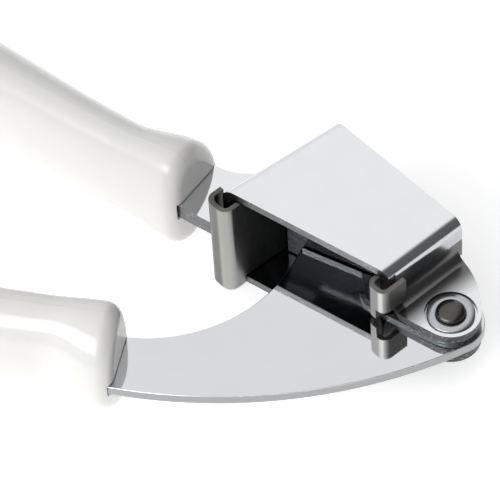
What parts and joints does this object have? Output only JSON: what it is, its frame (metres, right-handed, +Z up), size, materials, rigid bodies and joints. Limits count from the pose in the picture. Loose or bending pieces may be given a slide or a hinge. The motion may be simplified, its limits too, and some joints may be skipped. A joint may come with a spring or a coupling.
{
  "type": "garlic press",
  "caption": "Hand-held garlic press: a chromed sheet-steel chamber with a slide-on sieve insert, a crescent plunger arm turning on one rivet, and white moulded grips.",
  "frame": {"origin": "the middle of the chamber's flat underside, on which the press rests", "axes": "+Z up through the chamber, +X from the grips towards the pivot, +Y the way the garlic is pressed"},
  "size_m": [0.1717, 0.1029, 0.0234],
  "materials": {
    "chromed_steel": "mirror chrome plate",
    "polished_steel": "mirror polish with fine wiping marks",
    "satin_stainless": "satin, faintly brushed",
    "rivet_steel": "dark dull",
    "washer_steel": "pale satin",
    "white_plastic": "smooth gloss, slightly warm white"
  },
  "bodies": {
    "chamber_arm": {"upper_shell": "chromed_steel", "lower_shell": "chromed_steel", "sieve_insert": "satin_stainless", "pivot_rivet": "rivet_steel", "upper_washer": "washer_steel", "lower_washer": "washer_steel", "chamber_grip": "white_plastic"},
    "plunger_arm": {"plunger_arm_plate": "polished_steel", "upper_plunger": "polished_steel", "lower_plunger": "polished_steel", "plunger_grip": "white_plastic"}
  },
  "joints": [
    {"name": "press_pivot", "type": "hinge", "parent": "chamber_arm", "child": "plunger_arm", "pos_m": [0.0239, -0.00405, 0.0117], "axis": [0, 0, 1], "range_deg": [-18.5, 110]}
  ]
}
